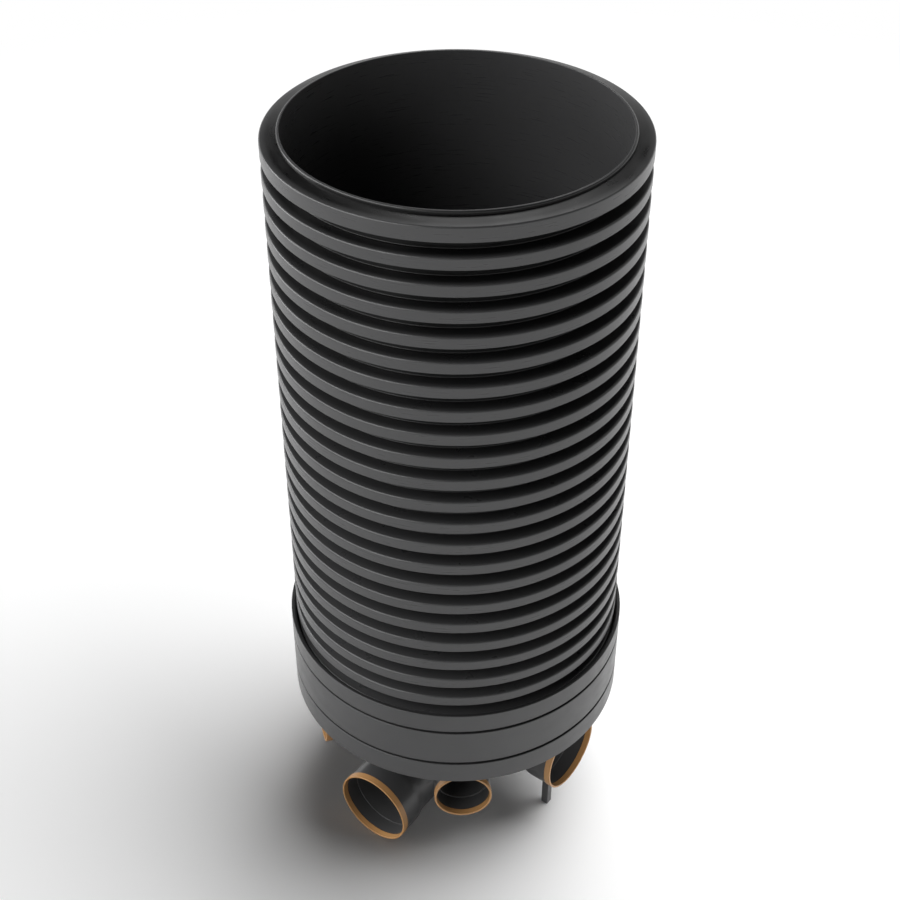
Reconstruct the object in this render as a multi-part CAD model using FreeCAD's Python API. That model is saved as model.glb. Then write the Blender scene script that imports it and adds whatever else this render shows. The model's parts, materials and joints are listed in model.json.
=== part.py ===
import FreeCAD, Part
import math
import os

os.makedirs("parts", exist_ok=True)

# Drain inspection chamber, in millimetres
# The chamber stands on the XY plane with its shaft on the Z axis
# The main channel runs along Y, and the outlet faces -Y

# Pipe sizes that the sockets take
large_pipe_r = 80.0
small_pipe_r = 55.0
pipe_slack = 0.3
large_wall = 2.9
small_wall = 3.3
large_stub_bore_r = 73.5
small_stub_bore_r = 49.5
stub_wall = 3.5

# Socket lengths, measured from the mouth inwards
ring_length = 14.0
ring_lip = 6.0
ring_wall = 2.2
ring_slack = 0.1
seal_length = 5.0
seal_slack = 0.3
bore_end = 43.0
bell_end = 58.0
cone_end = 80.0
stop_ledge = 2.6

# Corrugated riser pipe
riser_outer_r = 335.0
rib_depth = 29.0
riser_liner = 6.0
rib_count = 25
rib_pitch = 48.86
rib_face = 22.1
end_land = 13.4
top_rib_face = 26.9
rim_rise = 4.7
rim_step = 7.0
lip_wall = 5.5
lip_height = 7.3
lip_round = 3.5

# Heights of the main channel and of the inlets above it
main_axis_height = 86.0
side_rise = 113.0
inlet_fall = 76.0

# Well, benching and shoulder below the riser
shoulder_in = 94.0
well_wall = 6.0
bench_in = 56.0
bench_rise = 38.0
bench_fall = 10.0
knuckle_in = 12.0
knuckle_rise = 24.0
well_foot = 56.0
shoulder_plate = 8.0
shoulder_fall = 6.0

# Collar that takes the riser
socket_room = 99.0
seat_rise = 50.2
collar_depth = 140.8
collar_gap = 2.0
collar_wall = 9.7
seat_plate = 8.0
collar_lead = 3.0
collar_edge = 2.0
line_depth = 4.5
line_width = 6.0
upper_line_drop = 47.0
lower_line_rise = 3.8
rib_plate = 5.0
pocket_rib_count = 12

# Where the sockets sit, outwards from the well
main_stub_reach = 2.0
main_socket_length = 92.0
side_stub_reach = 11.0
side_socket_length = 90.0
small_socket_length = 87.0
small_angle = 39.3
inlet_turn_in = 30.0

# Feet
post_width = 16.0
post_reach = 35.0
foot_rib = 6.0
foot_half_length = 112.0
foot_offset = 52.0
cross_spacing = 78.0
cross_half_length = 96.0

# Riser seal
seal_lift = 0.3
seal_fit = 0.3
seal_web = 7.0
seal_fin = 5.0


def vec(x, y, z=0.0):
    return FreeCAD.Vector(x, y, z)


def turned(points):
    """Solid of revolution round Z from (radius, height) points."""
    corners = [vec(r, 0.0, h) for r, h in points]
    wire = Part.makePolygon(corners + corners[:1])
    return Part.Face(wire).revolve(vec(0, 0), vec(0, 0, 1), 360.0)


def outward(solid, mouth, angle, height):
    """Lay a solid of revolution down, so its mouth plane faces out along the angle."""
    laid = solid.copy()
    laid.rotate(vec(0, 0), vec(0, 1, 0), 90.0)
    laid.translate(vec(mouth, 0, height))
    laid.rotate(vec(0, 0), vec(0, 0, 1), angle)
    return laid


def ray_cylinder(radius, angle, start, start_height, end, end_height):
    """Cylinder whose axis runs in the vertical plane at this angle between two points."""
    along = vec(end - start, 0, end_height - start_height)
    body = Part.makeCylinder(radius, along.Length, vec(start, 0, start_height), along)
    body.rotate(vec(0, 0), vec(0, 0, 1), angle)
    return body


def save(shape, node):
    shape.exportStep("parts/" + node + ".step")


# Values that follow from the sizes above
riser_root_r = riser_outer_r - rib_depth
riser_bore_r = riser_root_r - riser_liner
rim_inner_r = riser_bore_r + rim_step
lip_outer_r = riser_bore_r + lip_wall
collar_bore_r = riser_outer_r + collar_gap
collar_outer_r = collar_bore_r + collar_wall
well_r = riser_bore_r - shoulder_in
well_outer_r = well_r + well_wall
bench_r = well_r - bench_in
knuckle_r = well_r - knuckle_in

bench_outer_height = main_axis_height + bench_rise
bench_inner_height = bench_outer_height - bench_fall
knuckle_height = bench_outer_height + knuckle_rise
knuckle_top = bench_outer_height + well_foot
side_axis_height = main_axis_height + side_rise
collar_bottom = side_axis_height + socket_room
seat_height = collar_bottom + seat_rise
collar_top = seat_height + collar_depth
shoulder_inner_top = collar_bottom + shoulder_plate
shoulder_outer_top = shoulder_inner_top + shoulder_fall
riser_rim_height = seat_height + end_land + (rib_count - 1) * rib_pitch + top_rib_face
lip_top = riser_rim_height + rim_rise + lip_height

main_stub_end = well_r + main_stub_reach
main_mouth = main_stub_end + main_socket_length
side_stub_end = well_r + side_stub_reach
side_mouth = side_stub_end + side_socket_length
small_mouth = side_stub_end + small_socket_length
post_distance = side_stub_end + post_reach


# Riser: one corrugated outer wall on a smooth bore, with a rolled lip at the rim
def rib_bottom(k):
    """Height of the lower edge of a rib, counted from the pipe's lower end."""
    return seat_height + end_land + k * rib_pitch


profile = [(riser_bore_r, seat_height), (riser_root_r, seat_height)]
for k in range(rib_count - 1):
    low = rib_bottom(k)
    high = low + rib_face
    profile += [(riser_root_r, low), (riser_outer_r, low)]
    profile += [(riser_outer_r, high), (riser_root_r, high)]
low = rib_bottom(rib_count - 1)
profile += [(riser_root_r, low), (riser_outer_r, low), (riser_outer_r, riser_rim_height)]
profile += [(rim_inner_r, riser_rim_height + rim_rise)]
profile += [(lip_outer_r, riser_rim_height + rim_rise)]
profile += [(lip_outer_r, lip_top - lip_round), (lip_outer_r - lip_round, lip_top)]
profile += [(riser_bore_r, lip_top)]
riser_pipe = turned(profile)
save(riser_pipe, "riser_pipe")

# Riser seal: a finned rubber ring in the groove above the lowest rib
seal_low = rib_bottom(0) + rib_face
seal_high = rib_bottom(1) - seal_lift
seal_in = riser_root_r + seal_fit
seal_out = collar_bore_r - seal_fit
fin_root = riser_outer_r - seal_fin
riser_seal = turned(
    [
        (seal_in, seal_low),
        (fin_root, seal_low),
        (seal_out, seal_high - seal_web),
        (seal_out, seal_high),
        (seal_in, seal_high),
    ]
)
save(riser_seal, "riser_seal")

# Chamber base: collar, riser seat, well, benching, stubs and feet in one moulding
def collar_line(height):
    """Shallow groove round the collar, listed upwards."""
    half = line_width / 2
    return [
        (collar_outer_r, height - half),
        (collar_outer_r - line_depth, height - half),
        (collar_outer_r - line_depth, height + half),
        (collar_outer_r, height + half),
    ]


outside = [
    (0.0, bench_inner_height - well_wall),
    (bench_r, bench_outer_height - well_wall),
    (knuckle_r + well_wall, knuckle_height - well_wall / 2),
    (well_outer_r, knuckle_top),
    (well_outer_r, collar_bottom),
    (collar_outer_r - collar_edge, collar_bottom),
    (collar_outer_r, collar_bottom + collar_edge),
]
outside += collar_line(seat_height + lower_line_rise)
outside += collar_line(collar_top - upper_line_drop)
outside += [
    (collar_outer_r, collar_top - collar_edge),
    (collar_outer_r - collar_edge, collar_top),
    (0.0, collar_top),
]
base = turned(outside)
hollow = turned(
    [
        (0.0, bench_inner_height),
        (bench_r, bench_outer_height),
        (knuckle_r, knuckle_height),
        (well_r, knuckle_top),
        (well_r, shoulder_inner_top),
        (riser_bore_r, shoulder_outer_top),
        (riser_bore_r, seat_height),
        (collar_bore_r, seat_height),
        (collar_bore_r, collar_top - collar_lead),
        (collar_bore_r + collar_lead, collar_top),
        (0.0, collar_top),
    ]
)

# Open pocket under the riser seat, with stiffening plates across it
pocket_in = riser_bore_r + seat_plate
pocket_out = collar_bore_r
pocket = turned(
    [
        (pocket_in, collar_bottom),
        (pocket_out, collar_bottom),
        (pocket_out, seat_height - seat_plate),
        (pocket_in, seat_height - seat_plate),
    ]
)
plates = []
for i in range(pocket_rib_count):
    plate = Part.makeBox(
        collar_wall + pocket_out - pocket_in,
        rib_plate,
        seat_height - seat_plate - collar_bottom,
        vec(pocket_in - collar_wall / 2, -rib_plate / 2, collar_bottom),
    )
    plate.rotate(vec(0, 0), vec(0, 0, 1), (i + 0.5) * 360.0 / pocket_rib_count)
    plates.append(plate)
pocket = pocket.cut(plates)

# Each inlet that falls to the channel: angle, bore of its stub
inlet_turn = well_r - inlet_turn_in
side_inlets = [
    (0.0, large_stub_bore_r),
    (180.0, large_stub_bore_r),
    (-90.0 - small_angle, small_stub_bore_r),
    (-90.0 + small_angle, small_stub_bore_r),
]

outer_forms = []
inner_forms = []
for angle, bore in side_inlets:
    for radius, forms in ((bore + stub_wall, outer_forms), (bore, inner_forms)):
        forms.append(
            ray_cylinder(radius, angle, bench_r, side_axis_height, side_stub_end, side_axis_height)
        )
        forms.append(
            ray_cylinder(radius, angle, inlet_turn, side_axis_height, 0.0, side_axis_height - inlet_fall)
        )

main_bore = large_stub_bore_r
main_outer = main_bore + stub_wall
outer_forms.append(
    Part.makeCylinder(main_outer, 2 * main_stub_end, vec(0, -main_stub_end, main_axis_height), vec(0, 1, 0))
)
inner_forms.append(
    Part.makeCylinder(main_bore, 2 * main_stub_end, vec(0, -main_stub_end, main_axis_height), vec(0, 1, 0))
)
channel_top = bench_outer_height
channel_outside = Part.makeBox(
    2 * main_outer,
    2 * well_outer_r,
    channel_top - main_axis_height,
    vec(-main_outer, -well_outer_r, main_axis_height),
).common(Part.makeCylinder(bench_r + well_wall, channel_top))
channel_inside = Part.makeBox(
    2 * main_bore,
    2 * well_outer_r,
    channel_top - main_axis_height,
    vec(-main_bore, -well_outer_r, main_axis_height),
).common(Part.makeCylinder(bench_r, channel_top))
outer_forms.append(channel_outside)
inner_forms.append(channel_inside)

# Foot grid under the channel
for side in (-1, 1):
    outer_forms.append(
        Part.makeBox(
            foot_rib,
            2 * foot_half_length,
            bench_inner_height,
            vec(side * foot_offset - foot_rib / 2, -foot_half_length, 0),
        )
    )
for step in (-1, 0, 1):
    outer_forms.append(
        Part.makeBox(
            2 * cross_half_length,
            foot_rib,
            bench_inner_height,
            vec(-cross_half_length, step * cross_spacing - foot_rib / 2, 0),
        )
    )

for form in outer_forms:
    base = base.fuse(form)
for form in inner_forms:
    hollow = hollow.fuse(form)
base = base.cut(hollow).cut(pocket).removeSplitter()
save(base, "chamber_base")


# Sockets: bell, lip seal and retaining ring for each pipe size
def socket_parts(pipe_r, wall, stub_bore, stub_depth):
    """Bell, seal and ring as solids of revolution, mouth at height 0, pipe side below."""
    bore = pipe_r + pipe_slack
    bell_r = bore + wall
    ring_r = bell_r + ring_wall / 2
    spigot_r = ring_r - ring_wall
    stub_r = stub_bore + stub_wall
    face = ring_lip + seal_length
    bell = turned(
        [
            (bore, -face),
            (spigot_r, -face),
            (spigot_r, -ring_length),
            (bell_r, -ring_length),
            (bell_r, -bell_end),
            (stub_r, -cone_end),
            (stub_r, -stub_depth),
            (stub_bore, -stub_depth),
            (bore - stop_ledge, -bore_end),
            (bore, -bore_end),
        ]
    )
    ring = turned(
        [
            (bore + ring_slack, 0.0),
            (ring_r, 0.0),
            (ring_r, -ring_length),
            (spigot_r + ring_slack, -ring_length),
            (spigot_r + ring_slack, -ring_lip),
            (bore + ring_slack, -ring_lip),
        ]
    )
    seal = turned(
        [
            (bore + ring_slack, -ring_lip),
            (spigot_r + ring_slack - seal_slack, -ring_lip),
            (spigot_r + ring_slack - seal_slack, -face),
            (bore + ring_slack, -face),
        ]
    )
    return bell, seal, ring


# name, angle, mouth distance, axis height, pipe radius, wall, stub bore, stub end
sockets = [
    ("outlet", -90.0, main_mouth, main_axis_height, large_pipe_r, large_wall, main_bore, main_stub_end),
    ("inlet", 90.0, main_mouth, main_axis_height, large_pipe_r, large_wall, main_bore, main_stub_end),
    ("side_right", 0.0, side_mouth, side_axis_height, large_pipe_r, large_wall, main_bore, side_stub_end),
    ("side_left", 180.0, side_mouth, side_axis_height, large_pipe_r, large_wall, main_bore, side_stub_end),
    (
        "branch_left",
        -90.0 - small_angle,
        small_mouth,
        side_axis_height,
        small_pipe_r,
        small_wall,
        small_stub_bore_r,
        side_stub_end,
    ),
    (
        "branch_right",
        -90.0 + small_angle,
        small_mouth,
        side_axis_height,
        small_pipe_r,
        small_wall,
        small_stub_bore_r,
        side_stub_end,
    ),
]

for name, angle, mouth, height, pipe_r, wall, stub_bore, stub_end in sockets:
    bell, seal, ring = socket_parts(pipe_r, wall, stub_bore, mouth - stub_end)
    bell = outward(bell, mouth, angle, height)
    seal = outward(seal, mouth, angle, height)
    ring = outward(ring, mouth, angle, height)
    if name.startswith("side"):
        post = Part.makeBox(
            post_width,
            post_width,
            height,
            vec(post_distance - post_width / 2, -post_width / 2, 0),
        )
        post.rotate(vec(0, 0), vec(0, 0, 1), angle)
        core = Part.makeCylinder(stub_bore + stub_wall / 2, mouth, vec(0, 0, height), vec(1, 0, 0))
        core.rotate(vec(0, 0), vec(0, 0, 1), angle)
        bell = bell.fuse(post.cut(core))
        bell = bell.removeSplitter()
    save(bell, name + "_socket")
    save(seal, name + "_seal")
    save(ring, name + "_ring")
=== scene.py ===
import json
import math

import bmesh
import bpy
from bpy.props import FloatProperty, FloatVectorProperty, IntProperty, PointerProperty
from mathutils import Matrix, Vector

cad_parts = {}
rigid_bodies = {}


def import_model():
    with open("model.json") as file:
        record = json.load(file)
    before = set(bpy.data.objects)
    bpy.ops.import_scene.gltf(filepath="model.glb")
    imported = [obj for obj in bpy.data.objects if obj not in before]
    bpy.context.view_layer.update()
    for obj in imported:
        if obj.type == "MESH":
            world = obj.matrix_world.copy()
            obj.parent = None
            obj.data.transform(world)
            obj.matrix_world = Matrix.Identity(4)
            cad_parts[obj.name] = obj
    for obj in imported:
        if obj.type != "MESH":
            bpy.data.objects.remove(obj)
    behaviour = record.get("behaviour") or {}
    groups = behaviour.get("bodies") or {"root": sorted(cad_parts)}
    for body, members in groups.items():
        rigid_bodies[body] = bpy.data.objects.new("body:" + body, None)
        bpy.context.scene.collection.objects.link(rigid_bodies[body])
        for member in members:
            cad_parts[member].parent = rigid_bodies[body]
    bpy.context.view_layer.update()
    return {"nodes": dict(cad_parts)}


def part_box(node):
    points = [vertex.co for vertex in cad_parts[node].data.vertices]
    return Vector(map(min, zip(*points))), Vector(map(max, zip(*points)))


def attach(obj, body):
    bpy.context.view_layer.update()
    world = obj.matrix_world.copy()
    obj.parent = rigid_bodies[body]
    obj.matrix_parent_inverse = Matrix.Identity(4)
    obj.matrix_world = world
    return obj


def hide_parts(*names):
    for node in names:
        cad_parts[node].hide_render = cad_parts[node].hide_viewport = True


bl_info = {
    "name": "Drain inspection chamber",
    "version": (1, 0, 0),
    "blender": (4, 5, 0),
    "location": "View3D > Sidebar > Chamber",
    "description": "Dresses a drain inspection chamber: riser, base, sockets and a plain studio",
    "category": "Object",
}

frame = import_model()

MM = 0.001
BODY = "root"

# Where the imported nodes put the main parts
riser_low, riser_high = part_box("riser_pipe")
seal_low, seal_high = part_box("riser_seal")
base_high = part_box("chamber_base")[1]

# Facets of round shapes and of rounded edges
RISER_STEPS = 192
SOCKET_STEPS = 128
ROUND_STEPS = 4
POST_ROUND_STEPS = 3
SHARP_ANGLE = math.radians(35)
FLAT_ANGLE = math.radians(0.5)

# How close two points are merged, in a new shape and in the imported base
NEW_MERGE = 1e-6
PACKED_MERGE = 1e-5

# Rim of the riser
RIM_ROUNDING = 3.0 * MM
MOUTH_ROUNDING = 1.0 * MM

# Seal of the riser
RISER_SLACK = 0.3 * MM
FIN_REACH = 6.7 * MM
FIN_HEIGHT = 7.0 * MM
FIN_ROUNDING = 1.0 * MM
SEAL_FOOT_ROUNDING = 1.5 * MM

# Collar of the base
COLLAR_MARGIN = 1.0 * MM
COLLAR_FOOT_ROUNDING = 2.0 * MM
LINE_ROUNDING = 2.0 * MM
COLLAR_TOP_ROUNDING = 1.6 * MM
LEAD_IN = 3.0 * MM
LEAD_IN_ROUNDING = 0.6 * MM

# Bells: where the pipe stops, and where the bell narrows to the stub
STOP_DEPTH = 43.0 * MM
STOP_STEP = 2.6 * MM
STOP_ROUNDING = 0.5 * MM
STOP_ROOT_ROUNDING = 0.3 * MM
SHOULDER_START = 58.0 * MM
SHOULDER_END = 80.0 * MM
SHOULDER_ROUNDING = 6.0 * MM
STUB_WALL = 3.5 * MM

# Rings and lip seals, as depths behind the mouth and room round them
RING_SLACK = 0.1 * MM
RING_LIP = 12.5 * MM
SEAL_FACE = 13.5 * MM
SEAL_SLACK = 0.3 * MM

# Posts under the side sockets
POST_REACH = 252.0 * MM
POST_TOP = 120.0 * MM
POST_ROUNDING = 1.2 * MM

# Kinds of socket in mm: mouth distance, axis height, pipe radius, bell wall, stub bore and stub end
CHANNEL = (300.0, 86.0, 80.0, 2.9, 73.5, 208.0)
SIDE = (307.0, 199.0, 80.0, 2.9, 73.5, 217.0)
BRANCH = (304.0, 199.0, 55.0, 3.3, 49.5, 217.0)

# Name, direction in degrees and kind of each socket
SOCKETS = [
    ("outlet", -90.0, CHANNEL),
    ("inlet", 90.0, CHANNEL),
    ("side_right", 0.0, SIDE),
    ("side_left", 180.0, SIDE),
    ("branch_left", -129.3, BRANCH),
    ("branch_right", -50.7, BRANCH),
]

# Scale and detail of the noise
CLOUDS = (7.0, 4.0)
FLOW_MARKS = (30.0, 5.0)
GRAIN = (900.0, 2.0)

# How much the gloss varies, and how strong and deep the marks are
GLOSS_SPREAD = 0.05
FLOW_STRENGTH = 0.03
FLOW_DEPTH = 0.6 * MM
GRAIN_DEPTH = 0.15 * MM

# How closely flow marks lie along X, Y and Z
ROUND_THE_PIPE = (0.6, 0.6, 14.0)
MOULDED = (1.0, 1.0, 1.6)
EVEN = (1.0, 1.0, 1.0)

# Painted shade in the grooves and on any other face that lies as deep: its depths below the outer face,
# and the share of the colour that it leaves at the collar's top and at the rim
RISER_PAINTED_GROOVE_SHADE = ((32.0 * MM, 30.0 * MM, 13.0 * MM, 0.5 * MM), (1.0, 0.05))
COLLAR_PAINTED_GROOVE_SHADE = ((8.2 * MM, 7.2 * MM, 1.5 * MM, 0.1 * MM), (0.5, 0.5))

# Floor, and the distances between which it runs into the backdrop
FLOOR_WHITE = (0.96, 0.96, 0.96, 1.0)
FLOOR_ROUGHNESS = 0.9
FLOOR_SHINE = 0.1
BACKDROP_START = 2.0
BACKDROP_END = 4.5

# Elevations between which the white horizon fades to the dark ceiling
HORIZON_TOP = math.radians(9.0)
CEILING_FOOT = math.radians(24.0)

# Lights: name, width and height, azimuth and elevation in degrees, and the group that each reaches
LIGHT_AIM = Vector((0.0, 0.0, 0.8))
LIGHT_DISTANCE = 15.0
LIGHTS = [
    ("floor", (18.0, 11.0), 73.0, 64.0, "floor_only"),
    ("key", (20.0, 8.0), 234.0, 42.0, "object_only"),
    ("side", (8.0, 6.0), 195.0, 12.0, "object_only"),
    ("top", (12.0, 5.0), 100.0, 54.0, "object_only"),
    ("socket", (6.0, 4.0), -25.0, 28.0, "socket_only"),
]

# Camera
CAMERA_PLACE = (1.3968, -1.9137, 2.7138)
CAMERA_TILT = math.radians(52.19)
CAMERA_TURN = math.radians(36.42)
SENSOR_WIDTH = 36.0


# Settings that a user would change


class RiserSettings(bpy.types.PropertyGroup):
    rib_count: IntProperty(name="Ribs", description="How many ribs the riser has", default=25, min=2)
    rib_pitch: FloatProperty(
        name="Rib pitch", description="Height from one rib to the next",
        default=48.86 * MM, precision=5, subtype="DISTANCE", unit="LENGTH",
    )
    rib_face: FloatProperty(
        name="Rib face", description="Height of the flat side of a rib",
        default=22.1 * MM, precision=5, subtype="DISTANCE", unit="LENGTH",
    )
    rib_depth: FloatProperty(
        name="Rib depth", description="How far a rib stands out from the root of the groove",
        default=29.0 * MM, precision=5, subtype="DISTANCE", unit="LENGTH",
    )
    liner: FloatProperty(
        name="Liner", description="Thickness of the wall under the grooves",
        default=6.0 * MM, precision=5, subtype="DISTANCE", unit="LENGTH",
    )
    end_land: FloatProperty(
        name="End land", description="Plain length below the lowest rib",
        default=13.4 * MM, precision=5, subtype="DISTANCE", unit="LENGTH",
    )
    rib_rounding: FloatProperty(
        name="Rib rounding", description="Rounding of the upper edge of a rib",
        default=4.0 * MM, precision=5, subtype="DISTANCE", unit="LENGTH",
    )
    edge_rounding: FloatProperty(
        name="Edge rounding", description="Rounding of the lower edge of a rib",
        default=0.8 * MM, precision=5, subtype="DISTANCE", unit="LENGTH",
    )
    root_rounding: FloatProperty(
        name="Root rounding", description="Rounding at the root of a groove",
        default=2.0 * MM, precision=5, subtype="DISTANCE", unit="LENGTH",
    )
    rim_rise: FloatProperty(
        name="Rim rise", description="How far the face of the rim rises towards the bore",
        default=4.7 * MM, precision=5, subtype="DISTANCE", unit="LENGTH",
    )
    rim_step: FloatProperty(
        name="Rim step", description="Distance from the bore to the inner edge of the rim's face",
        default=7.0 * MM, precision=5, subtype="DISTANCE", unit="LENGTH",
    )
    lip_wall: FloatProperty(
        name="Lip wall", description="Thickness of the lip that stands up at the bore",
        default=5.5 * MM, precision=5, subtype="DISTANCE", unit="LENGTH",
    )
    lip_height: FloatProperty(
        name="Lip height", description="How far the lip stands above the rim",
        default=7.3 * MM, precision=5, subtype="DISTANCE", unit="LENGTH",
    )
    lip_rounding: FloatProperty(
        name="Lip rounding", description="Rounding of the outer edge of the lip",
        default=3.5 * MM, precision=5, subtype="DISTANCE", unit="LENGTH",
    )
    colour: FloatVectorProperty(
        name="Colour", description="Colour of the riser's plastic", subtype="COLOR",
        size=4, min=0.0, max=1.0, default=(0.048, 0.048, 0.049, 1.0),
    )


class BaseSettings(bpy.types.PropertyGroup):
    collar_wall: FloatProperty(
        name="Collar wall", description="Thickness of the collar round the riser",
        default=9.7 * MM, precision=5, subtype="DISTANCE", unit="LENGTH",
    )
    collar_bottom: FloatProperty(
        name="Collar bottom", description="Height of the collar's lower edge",
        default=298.0 * MM, precision=5, subtype="DISTANCE", unit="LENGTH",
    )
    line_width: FloatProperty(
        name="Line width", description="Width of the grooves round the collar",
        default=6.0 * MM, precision=5, subtype="DISTANCE", unit="LENGTH",
    )
    line_depth: FloatProperty(
        name="Line depth", description="Depth of the grooves round the collar",
        default=4.5 * MM, precision=5, subtype="DISTANCE", unit="LENGTH",
    )
    lower_line: FloatProperty(
        name="Lower line", description="Height of the lower groove round the collar",
        default=352.0 * MM, precision=5, subtype="DISTANCE", unit="LENGTH",
    )
    upper_line: FloatProperty(
        name="Upper line", description="Height of the upper groove round the collar",
        default=442.0 * MM, precision=5, subtype="DISTANCE", unit="LENGTH",
    )
    colour: FloatVectorProperty(
        name="Colour", description="Colour of the base's plastic", subtype="COLOR",
        size=4, min=0.0, max=1.0, default=(0.048, 0.048, 0.049, 1.0),
    )
    seal_colour: FloatVectorProperty(
        name="Seal colour", description="Colour of the rubber seals", subtype="COLOR",
        size=4, min=0.0, max=1.0, default=(0.018, 0.018, 0.019, 1.0),
    )


class SocketSettings(bpy.types.PropertyGroup):
    pipe_slack: FloatProperty(
        name="Pipe slack", description="Room round the pipe in the bell",
        default=0.3 * MM, precision=5, subtype="DISTANCE", unit="LENGTH",
    )
    ring_length: FloatProperty(
        name="Ring length", description="Length of the ring that holds the seal",
        default=14.0 * MM, precision=5, subtype="DISTANCE", unit="LENGTH",
    )
    ring_wall: FloatProperty(
        name="Ring wall", description="Thickness of the ring's skirt",
        default=2.2 * MM, precision=5, subtype="DISTANCE", unit="LENGTH",
    )
    ring_rounding: FloatProperty(
        name="Ring rounding", description="Rounding of the ring's edges",
        default=0.9 * MM, precision=5, subtype="DISTANCE", unit="LENGTH",
    )
    post_width: FloatProperty(
        name="Post width", description="Width of the square post under a side socket",
        default=16.0 * MM, precision=5, subtype="DISTANCE", unit="LENGTH",
    )
    ring_colour: FloatVectorProperty(
        name="Ring colour", description="Colour of the rings", subtype="COLOR",
        size=4, min=0.0, max=1.0, default=(0.38, 0.20, 0.075, 1.0),
    )


class StudioSettings(bpy.types.PropertyGroup):
    floor_power: FloatProperty(
        name="Floor light", description="Power of the high light that gives the floor its shadow",
        default=3700.0, min=0.0, subtype="POWER", unit="POWER",
    )
    key_power: FloatProperty(
        name="Key light", description="Power of the wide light in front on the left",
        default=2480.0, min=0.0, subtype="POWER", unit="POWER",
    )
    side_power: FloatProperty(
        name="Side light", description="Power of the low light behind on the left",
        default=830.0, min=0.0, subtype="POWER", unit="POWER",
    )
    top_power: FloatProperty(
        name="Top light", description="Power of the high light at the back",
        default=420.0, min=0.0, subtype="POWER", unit="POWER",
    )
    socket_power: FloatProperty(
        name="Socket light", description="Power of the low light that reaches the right side socket alone",
        default=900.0, min=0.0, subtype="POWER", unit="POWER",
    )
    sky_strength: FloatProperty(
        name="Horizon", description="Strength of the white backdrop low down all round",
        default=1.0, min=0.0,
    )
    floor_size: FloatProperty(
        name="Floor size", description="Side of the square floor",
        default=40.0, subtype="DISTANCE", unit="LENGTH",
    )
    lens: FloatProperty(
        name="Lens", description="Focal length of the camera",
        default=61.09 * MM, precision=5, subtype="DISTANCE_CAMERA", unit="CAMERA",
    )


# Meshes


def turned(outline, steps):
    """Closed body of revolution round Z from (radius, height, corner rounding) points."""
    shape = bmesh.new()
    corners = [shape.verts.new((radius, 0.0, height)) for radius, height, rounding in outline]
    shape.faces.new(corners)
    for size in sorted({point[2] for point in outline if point[2]}):
        chosen = [corner for corner, point in zip(corners, outline) if point[2] == size]
        bmesh.ops.bevel(
            shape, geom=chosen, offset=size, offset_type="OFFSET", affect="VERTICES",
            segments=ROUND_STEPS, profile=0.5, material=-1, clamp_overlap=False,
        )
    bmesh.ops.delete(shape, geom=shape.faces[:], context="FACES_ONLY")
    bmesh.ops.spin(
        shape, geom=shape.verts[:] + shape.edges[:], cent=(0, 0, 0), axis=(0, 0, 1),
        angle=math.tau, steps=steps, use_merge=True, use_duplicate=False,
    )
    bmesh.ops.remove_doubles(shape, verts=shape.verts[:], dist=NEW_MERGE)
    bmesh.ops.recalc_face_normals(shape, faces=shape.faces[:])
    return shape


def laid_out(shape, mouth, angle, height):
    """Lays a turned shape down, so its mouth plane faces out along the angle."""
    place = (
        Matrix.Rotation(angle, 4, "Z")
        @ Matrix.Translation((mouth, 0.0, height))
        @ Matrix.Rotation(math.pi / 2, 4, "Y")
    )
    bmesh.ops.transform(shape, matrix=place, verts=shape.verts[:])
    return shape


def add_block(shape, low, high, rounding, angle):
    """Adds a box with rounded edges, turned about Z by the angle."""
    size = Vector(high) - Vector(low)
    centre = (Vector(high) + Vector(low)) / 2
    made = bmesh.ops.create_cube(shape, size=1.0)["verts"]
    bmesh.ops.scale(shape, vec=size, verts=made)
    bmesh.ops.translate(shape, vec=centre, verts=made)
    bmesh.ops.rotate(shape, cent=(0, 0, 0), matrix=Matrix.Rotation(angle, 3, "Z"), verts=made)
    edges = list({edge for vert in made for edge in vert.link_edges})
    bmesh.ops.bevel(
        shape, geom=edges, offset=rounding, offset_type="OFFSET", affect="EDGES",
        segments=POST_ROUND_STEPS, profile=0.5, material=-1, clamp_overlap=True,
    )


def finished(shape, name, material, slot, *nodes):
    """Makes a bmesh a smooth-shaded piece that stands for the nodes and rides on the body."""
    data = bpy.data.meshes.new(name)
    shape.to_mesh(data)
    shape.free()
    data.shade_smooth()
    data.set_sharp_from_angle(angle=SHARP_ANGLE)
    data.materials.append(material)
    piece = bpy.data.objects.new(name, data)
    bpy.context.scene.collection.objects.link(piece)
    piece.modifiers.new("even_shading", "WEIGHTED_NORMAL").keep_sharp = True
    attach(piece, BODY)
    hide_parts(*nodes)
    return piece


# Materials


def noise(tree, coordinates, scale, detail):
    made = tree.nodes.new("ShaderNodeTexNoise")
    made.inputs["Scale"].default_value = scale
    made.inputs["Detail"].default_value = detail
    tree.links.new(coordinates, made.inputs["Vector"])
    return made.outputs["Fac"]


def spread(tree, value, low, high, from_low=0.3, from_high=0.7):
    """Maps a value onto a range. Most values of noise lie between 0.3 and 0.7."""
    made = tree.nodes.new("ShaderNodeMapRange")
    made.inputs["From Min"].default_value = from_low
    made.inputs["From Max"].default_value = from_high
    made.inputs["To Min"].default_value = low
    made.inputs["To Max"].default_value = high
    tree.links.new(value, made.inputs["Value"])
    return made.outputs["Result"]


def blended(tree, factor, first, second):
    made = tree.nodes.new("ShaderNodeMix")
    made.data_type = "RGBA"
    made.inputs["A"].default_value = first
    made.inputs["B"].default_value = second
    tree.links.new(factor, made.inputs["Factor"])
    return made.outputs["Result"]


def shade(colour, factor):
    return (*(channel * factor for channel in colour[:3]), 1.0)


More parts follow.
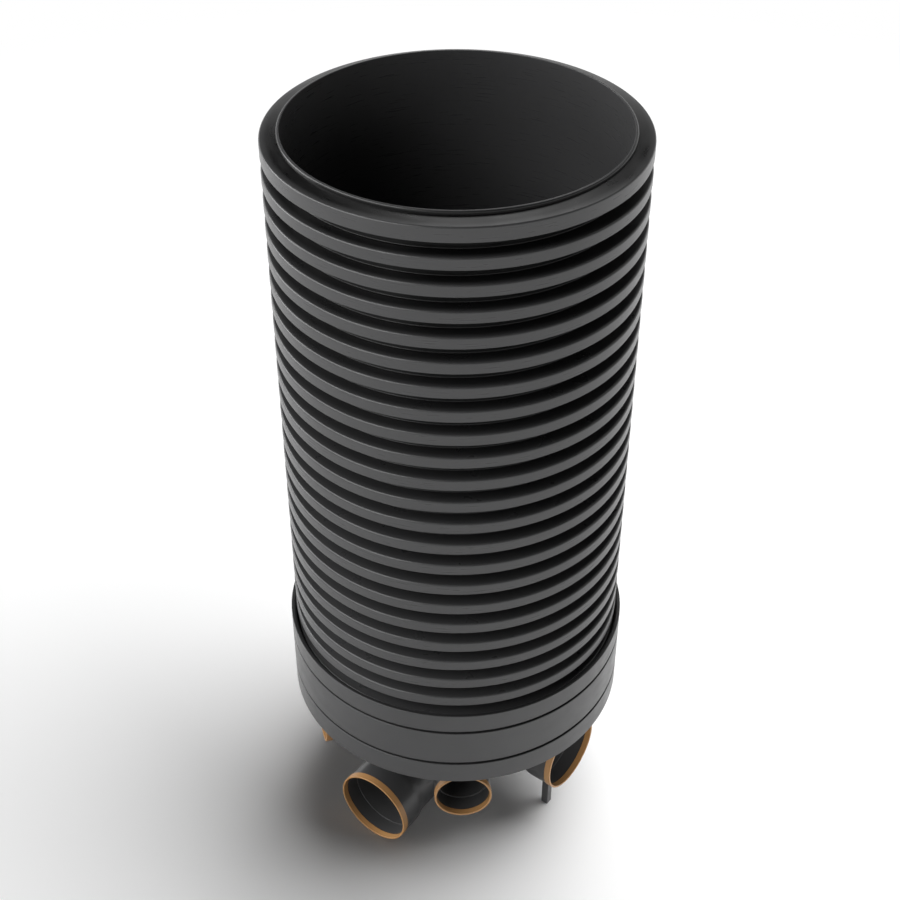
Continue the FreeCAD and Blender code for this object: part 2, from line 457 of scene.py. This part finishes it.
def around(tree, place, low, high):
    """Rises from 0 to 1 between two distances from the riser's axis."""
    flat = tree.nodes.new("ShaderNodeVectorMath")
    flat.operation = "MULTIPLY"
    flat.inputs[1].default_value = (1.0, 1.0, 0.0)
    tree.links.new(place, flat.inputs[0])
    distance = tree.nodes.new("ShaderNodeVectorMath")
    distance.operation = "LENGTH"
    tree.links.new(flat.outputs["Vector"], distance.inputs[0])
    return spread(tree, distance.outputs["Value"], 0.0, 1.0, low, high)


def combined(tree, operation, first, second):
    made = tree.nodes.new("ShaderNodeMath")
    made.operation = operation
    tree.links.new(first, made.inputs[0])
    tree.links.new(second, made.inputs[1])
    return made.outputs["Value"]


def painted_groove_shade_share(tree, place, outer, depths, shares):
    """Share of the colour that painted shade leaves in the grooves of a round wall.

    The painted shade starts between the first two depths below the outer face and ends between the last
    two.
    """
    deep_start, deep_end, fade_start, fade_end = (outer - depth for depth in depths)
    deep = around(tree, place, deep_start, deep_end)
    gap = combined(tree, "SUBTRACT", deep, around(tree, place, fade_start, fade_end))
    height = tree.nodes.new("ShaderNodeSeparateXYZ")
    tree.links.new(place, height.inputs["Vector"])
    foot, top = shares
    painted_shade_depth = spread(tree, height.outputs["Z"], 1.0 - foot, 1.0 - top, base_high.z, riser_high.z)
    return spread(tree, combined(tree, "MULTIPLY", gap, painted_shade_depth), 1.0, 0.0, 0.0, 1.0)


def add_bump(tree, height, strength, depth, normal=None):
    made = tree.nodes.new("ShaderNodeBump")
    made.inputs["Strength"].default_value = strength
    made.inputs["Distance"].default_value = depth
    tree.links.new(height, made.inputs["Height"])
    if normal:
        tree.links.new(normal, made.inputs["Normal"])
    return made.outputs["Normal"]


def plastic(name, colour, *, gloss, variation, grain, stretch, specular=0.5, outer=0.0, grooves=None):
    """Moulded or extruded plastic: cloudy tone, uneven gloss, fine grain and faint flow marks."""
    material = bpy.data.materials.new(name)
    material.use_nodes = True
    tree = material.node_tree
    shader = tree.nodes["Principled BSDF"]
    place = tree.nodes.new("ShaderNodeTexCoord").outputs["Object"]

    clouds = noise(tree, place, *CLOUDS)
    tone = blended(
        tree, spread(tree, clouds, 0.0, 1.0),
        shade(colour, 1.0 - variation), shade(colour, 1.0 + variation),
    )
    # Painted shade: the tone is scaled down in the grooves and on faces as deep, standing in for the shade
    # there.
    if grooves:
        painted_shade = tree.nodes.new("ShaderNodeVectorMath")
        painted_shade.operation = "SCALE"
        tree.links.new(tone, painted_shade.inputs[0])
        tree.links.new(painted_groove_shade_share(tree, place, outer, *grooves), painted_shade.inputs["Scale"])
        tone = painted_shade.outputs["Vector"]
    tree.links.new(tone, shader.inputs["Base Color"])

    mapping = tree.nodes.new("ShaderNodeMapping")
    mapping.inputs["Scale"].default_value = stretch
    tree.links.new(place, mapping.inputs["Vector"])
    flow = noise(tree, mapping.outputs["Vector"], *FLOW_MARKS)
    roughness = spread(tree, flow, gloss - GLOSS_SPREAD, gloss + GLOSS_SPREAD)
    tree.links.new(roughness, shader.inputs["Roughness"])
    shader.inputs["Specular IOR Level"].default_value = specular

    fine = noise(tree, place, *GRAIN)
    flow_marks = add_bump(tree, flow, FLOW_STRENGTH, FLOW_DEPTH)
    tree.links.new(add_bump(tree, fine, grain, GRAIN_DEPTH, flow_marks), shader.inputs["Normal"])
    return material


def riser_plastic():
    """Extruded polypropylene, with faint lines round the pipe, and painted shade in its grooves that grows
    from none at the collar to nearly full at the rim.
    """
    colour = bpy.context.scene.chamber_riser.colour
    return plastic(
        "extruded_riser", colour, gloss=0.31, variation=0.04, grain=0.05, stretch=ROUND_THE_PIPE,
        outer=riser_high.x, grooves=RISER_PAINTED_GROOVE_SHADE,
    )


def base_plastic():
    """Moulded polypropylene, as grey as the riser and a little duller, with painted shade that halves the
    colour in the collar's grooves and on its top and bottom faces.
    """
    existing = bpy.data.materials.get("moulded_base")
    colour = bpy.context.scene.chamber_base.colour
    return existing or plastic(
        "moulded_base", colour, gloss=0.34, variation=0.05, grain=0.06, stretch=MOULDED,
        outer=base_high.x, grooves=COLLAR_PAINTED_GROOVE_SHADE,
    )


def ring_plastic():
    """Orange moulded plastic with a soft gloss."""
    existing = bpy.data.materials.get("moulded_ring")
    colour = bpy.context.scene.chamber_sockets.ring_colour
    return existing or plastic("moulded_ring", colour, gloss=0.4, variation=0.08, grain=0.15, stretch=EVEN)


def seal_rubber():
    """Black rubber, dull and slightly dusty."""
    existing = bpy.data.materials.get("black_rubber")
    colour = bpy.context.scene.chamber_base.seal_colour
    return existing or plastic(
        "black_rubber", colour, gloss=0.7, variation=0.2, grain=0.3, stretch=EVEN, specular=0.3,
    )


# Pieces


class CHAMBER_OT_riser(bpy.types.Operator):
    """Make the corrugated riser with its rounded ribs, sloping rim and lip"""

    bl_idname = "chamber.riser"
    bl_label = "Make the riser"

    def execute(self, context):
        size = context.scene.chamber_riser
        outer = riser_high.x
        root = outer - size.rib_depth
        bore = root - size.liner
        foot = riser_low.z
        lip_top = riser_high.z
        rim_inner = bore + size.rim_step
        lip_outer = bore + size.lip_wall
        rim_inner_height = lip_top - size.lip_height
        rim_height = rim_inner_height - size.rim_rise
        edge, root_round = size.edge_rounding, size.root_rounding

        outline = [(bore, foot, 0), (root, foot, 0)]
        for k in range(size.rib_count):
            low = foot + size.end_land + k * size.rib_pitch
            outline += [(root, low, root_round), (outer, low, edge)]
            if k < size.rib_count - 1:
                high = low + size.rib_face
                outline += [(outer, high, size.rib_rounding), (root, high, root_round)]
        outline += [
            (outer, rim_height, RIM_ROUNDING),
            (rim_inner, rim_inner_height, 0),
            (lip_outer, rim_inner_height, 0),
            (lip_outer, lip_top, size.lip_rounding),
            (bore, lip_top, MOUTH_ROUNDING),
        ]
        shape = turned(outline, RISER_STEPS)
        finished(shape, "riser", riser_plastic(), "riser_plastic", "riser_pipe")
        return {"FINISHED"}


class CHAMBER_OT_riser_seal(bpy.types.Operator):
    """Make the finned rubber ring that seals the riser in its collar"""

    bl_idname = "chamber.riser_seal"
    bl_label = "Make the riser seal"

    def execute(self, context):
        outer = seal_high.x
        inner = riser_high.x - context.scene.chamber_riser.rib_depth + RISER_SLACK
        outline = [
            (inner, seal_low.z, 0),
            (outer - FIN_REACH, seal_low.z, SEAL_FOOT_ROUNDING),
            (outer, seal_high.z - FIN_HEIGHT, FIN_ROUNDING),
            (outer, seal_high.z, FIN_ROUNDING),
            (inner, seal_high.z, 0),
        ]
        shape = turned(outline, RISER_STEPS)
        finished(shape, "riser_joint_seal", seal_rubber(), "seal_rubber", "riser_seal")
        return {"FINISHED"}


class CHAMBER_OT_base(bpy.types.Operator):
    """Make the moulded base with its collar, well, channels and feet"""

    bl_idname = "chamber.base"
    bl_label = "Make the base"

    def execute(self, context):
        size = context.scene.chamber_base
        outer, top = base_high.x, base_high.z
        bore = outer - size.collar_wall
        half = size.line_width / 2
        line_floor = outer - size.line_depth

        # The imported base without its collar
        shape = bmesh.new()
        shape.from_mesh(frame["nodes"]["chamber_base"].data)
        bmesh.ops.remove_doubles(shape, verts=shape.verts[:], dist=PACKED_MERGE)
        inside, below = bore - COLLAR_MARGIN, size.collar_bottom - COLLAR_MARGIN
        collar = [
            face for face in shape.faces
            if all(corner.co.xy.length > inside and corner.co.z > below for corner in face.verts)
        ]
        bmesh.ops.delete(shape, geom=collar, context="FACES")
        bmesh.ops.dissolve_limit(
            shape, angle_limit=FLAT_ANGLE, verts=shape.verts[:], edges=shape.edges[:],
            use_dissolve_boundaries=False,
        )

        # A new collar with rounded edges and grooves
        outline = [
            (bore, size.collar_bottom, 0),
            (outer, size.collar_bottom, COLLAR_FOOT_ROUNDING),
        ]
        for line in (size.lower_line, size.upper_line):
            outline += [
                (outer, line - half, LINE_ROUNDING),
                (line_floor, line - half, 0),
                (line_floor, line + half, 0),
                (outer, line + half, LINE_ROUNDING),
            ]
        outline += [
            (outer, top, COLLAR_TOP_ROUNDING),
            (bore + LEAD_IN, top, LEAD_IN_ROUNDING),
            (bore, top - LEAD_IN, LEAD_IN_ROUNDING),
        ]
        band = turned(outline, RISER_STEPS)
        collar_mesh = bpy.data.meshes.new("collar")
        band.to_mesh(collar_mesh)
        band.free()
        shape.from_mesh(collar_mesh)
        bpy.data.meshes.remove(collar_mesh)
        finished(shape, "base", base_plastic(), "base_plastic", "chamber_base")
        return {"FINISHED"}


class CHAMBER_OT_sockets(bpy.types.Operator):
    """Make the push-fit sockets: bells, lip seals, orange rings and the posts of the side sockets"""

    bl_idname = "chamber.sockets"
    bl_label = "Make the sockets"

    def execute(self, context):
        size = context.scene.chamber_sockets
        edge = size.ring_rounding
        half = size.post_width / 2
        for name, degrees, kind in SOCKETS:
            angle = math.radians(degrees)
            mouth, height, pipe, wall, stub_bore, stub_end = (length * MM for length in kind)
            bore = pipe + size.pipe_slack
            bell = bore + wall
            ring = bell + size.ring_wall / 2
            spigot = ring - size.ring_wall
            stub = stub_bore + STUB_WALL
            depth = mouth - stub_end
            ring_bore = bore + RING_SLACK
            skirt_bore = spigot + RING_SLACK
            seal_outer = skirt_bore - SEAL_SLACK

            outline = [
                (bore, -SEAL_FACE, 0),
                (spigot, -SEAL_FACE, 0),
                (spigot, -size.ring_length, 0),
                (bell, -size.ring_length, 0),
                (bell, -SHOULDER_START, SHOULDER_ROUNDING),
                (stub, -SHOULDER_END, SHOULDER_ROUNDING),
                (stub, -depth, 0),
                (stub_bore, -depth, 0),
                (bore - STOP_STEP, -STOP_DEPTH, STOP_ROUNDING),
                (bore, -STOP_DEPTH, STOP_ROOT_ROUNDING),
            ]
            shape = laid_out(turned(outline, SOCKET_STEPS), mouth, angle, height)
            if name.startswith("side"):
                low, high = (POST_REACH - half, -half, 0.0), (POST_REACH + half, half, POST_TOP)
                add_block(shape, low, high, POST_ROUNDING, angle)
            finished(shape, name + "_bell", base_plastic(), "base_plastic", name + "_socket")

            outline = [
                (ring_bore, 0.0, edge),
                (ring, 0.0, edge),
                (ring, -size.ring_length, edge / 2),
                (skirt_bore, -size.ring_length, 0),
                (skirt_bore, -RING_LIP, 0),
                (ring_bore, -RING_LIP, 0),
            ]
            shape = laid_out(turned(outline, SOCKET_STEPS), mouth, angle, height)
            finished(shape, name + "_lock_ring", ring_plastic(), "ring_plastic", name + "_ring")

            outline = [
                (ring_bore, -RING_LIP, 0),
                (seal_outer, -RING_LIP, 0),
                (seal_outer, -SEAL_FACE, 0),
                (ring_bore, -SEAL_FACE, 0),
            ]
            shape = laid_out(turned(outline, SOCKET_STEPS), mouth, angle, height)
            finished(shape, name + "_lip_seal", seal_rubber(), "seal_rubber", name + "_seal")
        return {"FINISHED"}


# Studio


def studio_light(name, power, span, azimuth, elevation, reached):
    """Wide soft light at a direction in degrees, turned to the object."""
    lamp = bpy.data.lights.new(name, "AREA")
    lamp.shape = "RECTANGLE"
    lamp.size, lamp.size_y = span
    lamp.energy = power
    light = bpy.data.objects.new(name, lamp)
    rise = Matrix.Rotation(-math.radians(elevation), 3, "Y")
    way = Matrix.Rotation(math.radians(azimuth), 3, "Z") @ rise @ Vector((1.0, 0.0, 0.0))
    light.location = LIGHT_AIM + way * LIGHT_DISTANCE
    light.rotation_euler = (-way).to_track_quat("-Z", "Y").to_euler()
    light.light_linking.receiver_collection = reached
    bpy.context.scene.collection.objects.link(light)


def receivers(name, state, *pieces):
    """Says which pieces a light reaches, or which it leaves out."""
    group = bpy.data.collections.new(name)
    for piece in pieces:
        group.objects.link(piece)
    for member in group.collection_objects:
        member.light_linking.link_state = state
    return group


def floor_paint():
    """Matt white floor that runs into the white backdrop some way off."""
    material = bpy.data.materials.new("floor_paint")
    material.use_nodes = True
    tree = material.node_tree
    shader = tree.nodes["Principled BSDF"]
    shader.inputs["Base Color"].default_value = FLOOR_WHITE
    shader.inputs["Roughness"].default_value = FLOOR_ROUGHNESS
    shader.inputs["Specular IOR Level"].default_value = FLOOR_SHINE

    backdrop = tree.nodes.new("ShaderNodeEmission")
    backdrop.inputs["Strength"].default_value = 1.0
    place = tree.nodes.new("ShaderNodeTexCoord").outputs["Object"]
    factor = around(tree, place, BACKDROP_START, BACKDROP_END)
    rays = tree.nodes.new("ShaderNodeLightPath")
    seen = rays.outputs["Is Camera Ray"]
    for ray in ("Is Glossy Ray", "Is Transmission Ray"):
        seen = combined(tree, "MAXIMUM", seen, rays.outputs[ray])
    mix = tree.nodes.new("ShaderNodeMixShader")
    tree.links.new(combined(tree, "MULTIPLY", factor, seen), mix.inputs["Fac"])
    tree.links.new(shader.outputs["BSDF"], mix.inputs[1])
    tree.links.new(backdrop.outputs["Emission"], mix.inputs[2])
    tree.links.new(mix.outputs["Shader"], tree.nodes["Material Output"].inputs["Surface"])
    return material


def sky(strength):
    """White backdrop round the horizon that fades to a dark ceiling."""
    world = bpy.data.worlds.new("studio")
    world.use_nodes = True
    tree = world.node_tree
    light = tree.nodes["Background"]
    light.inputs["Color"].default_value = (1.0, 1.0, 1.0, 1.0)
    way = tree.nodes.new("ShaderNodeSeparateXYZ")
    tree.links.new(tree.nodes.new("ShaderNodeTexCoord").outputs["Generated"], way.inputs["Vector"])
    fade = tree.nodes.new("ShaderNodeMapRange")
    fade.interpolation_type = "SMOOTHSTEP"
    fade.inputs["From Min"].default_value = math.sin(HORIZON_TOP)
    fade.inputs["From Max"].default_value = math.sin(CEILING_FOOT)
    fade.inputs["To Min"].default_value = strength
    fade.inputs["To Max"].default_value = 0.0
    tree.links.new(way.outputs["Z"], fade.inputs["Value"])
    tree.links.new(fade.outputs["Result"], light.inputs["Strength"])
    bpy.context.scene.world = world


class CHAMBER_OT_studio(bpy.types.Operator):
    """Make the white floor, the soft lights and the camera"""

    bl_idname = "chamber.studio"
    bl_label = "Make the studio"

    def execute(self, context):
        scene = context.scene
        size = scene.chamber_studio
        shape = bmesh.new()
        bmesh.ops.create_grid(shape, x_segments=1, y_segments=1, size=size.floor_size / 2)
        data = bpy.data.meshes.new("floor")
        shape.to_mesh(data)
        shape.free()
        data.materials.append(floor_paint())
        ground = bpy.data.objects.new("floor", data)
        scene.collection.objects.link(ground)

        right_side = [made for made in scene.objects if made.name.startswith("side_right")]
        groups = {
            "floor_only": receivers("floor_only", "INCLUDE", ground),
            "object_only": receivers("object_only", "EXCLUDE", ground),
            "socket_only": receivers("socket_only", "INCLUDE", *right_side),
        }
        for name, span, azimuth, elevation, group in LIGHTS:
            power = getattr(size, name + "_power")
            studio_light(name + "_light", power, span, azimuth, elevation, groups[group])
        sky(size.sky_strength)

        lens = bpy.data.cameras.new("camera")
        lens.sensor_width = SENSOR_WIDTH
        lens.lens = size.lens / MM
        camera = bpy.data.objects.new("camera", lens)
        camera.location = CAMERA_PLACE
        camera.rotation_euler = (CAMERA_TILT, 0.0, CAMERA_TURN)
        scene.collection.objects.link(camera)
        scene.camera = camera
        scene.view_settings.view_transform = "Standard"
        return {"FINISHED"}


class CHAMBER_PT_panel(bpy.types.Panel):
    """Lists the settings and the makers of the chamber"""

    bl_idname = "CHAMBER_PT_panel"
    bl_label = "Chamber"
    bl_space_type = "VIEW_3D"
    bl_region_type = "UI"
    bl_category = "Chamber"

    def draw(self, context):
        for title, settings, makers in GROUPS:
            box = self.layout.box()
            box.label(text=title)
            group = getattr(context.scene, settings)
            for key in group.bl_rna.properties.keys():
                if key not in {"rna_type", "name"}:
                    box.prop(group, key)
            for maker in makers:
                box.operator(maker)


GROUPS = [
    ("Riser", "chamber_riser", ["chamber.riser", "chamber.riser_seal"]),
    ("Base", "chamber_base", ["chamber.base"]),
    ("Sockets", "chamber_sockets", ["chamber.sockets"]),
    ("Studio", "chamber_studio", ["chamber.studio"]),
]

CLASSES = [
    RiserSettings,
    BaseSettings,
    SocketSettings,
    StudioSettings,
    CHAMBER_OT_riser,
    CHAMBER_OT_riser_seal,
    CHAMBER_OT_base,
    CHAMBER_OT_sockets,
    CHAMBER_OT_studio,
    CHAMBER_PT_panel,
]


def register():
    for made in CLASSES:
        bpy.utils.register_class(made)
    bpy.types.Scene.chamber_riser = PointerProperty(type=RiserSettings)
    bpy.types.Scene.chamber_base = PointerProperty(type=BaseSettings)
    bpy.types.Scene.chamber_sockets = PointerProperty(type=SocketSettings)
    bpy.types.Scene.chamber_studio = PointerProperty(type=StudioSettings)


def unregister():
    del bpy.types.Scene.chamber_studio
    del bpy.types.Scene.chamber_sockets
    del bpy.types.Scene.chamber_base
    del bpy.types.Scene.chamber_riser
    for made in reversed(CLASSES):
        bpy.utils.unregister_class(made)


def main():
    register()
    bpy.ops.chamber.riser()
    bpy.ops.chamber.riser_seal()
    bpy.ops.chamber.base()
    bpy.ops.chamber.sockets()
    bpy.ops.chamber.studio()


if __name__ == "__main__":
    main()
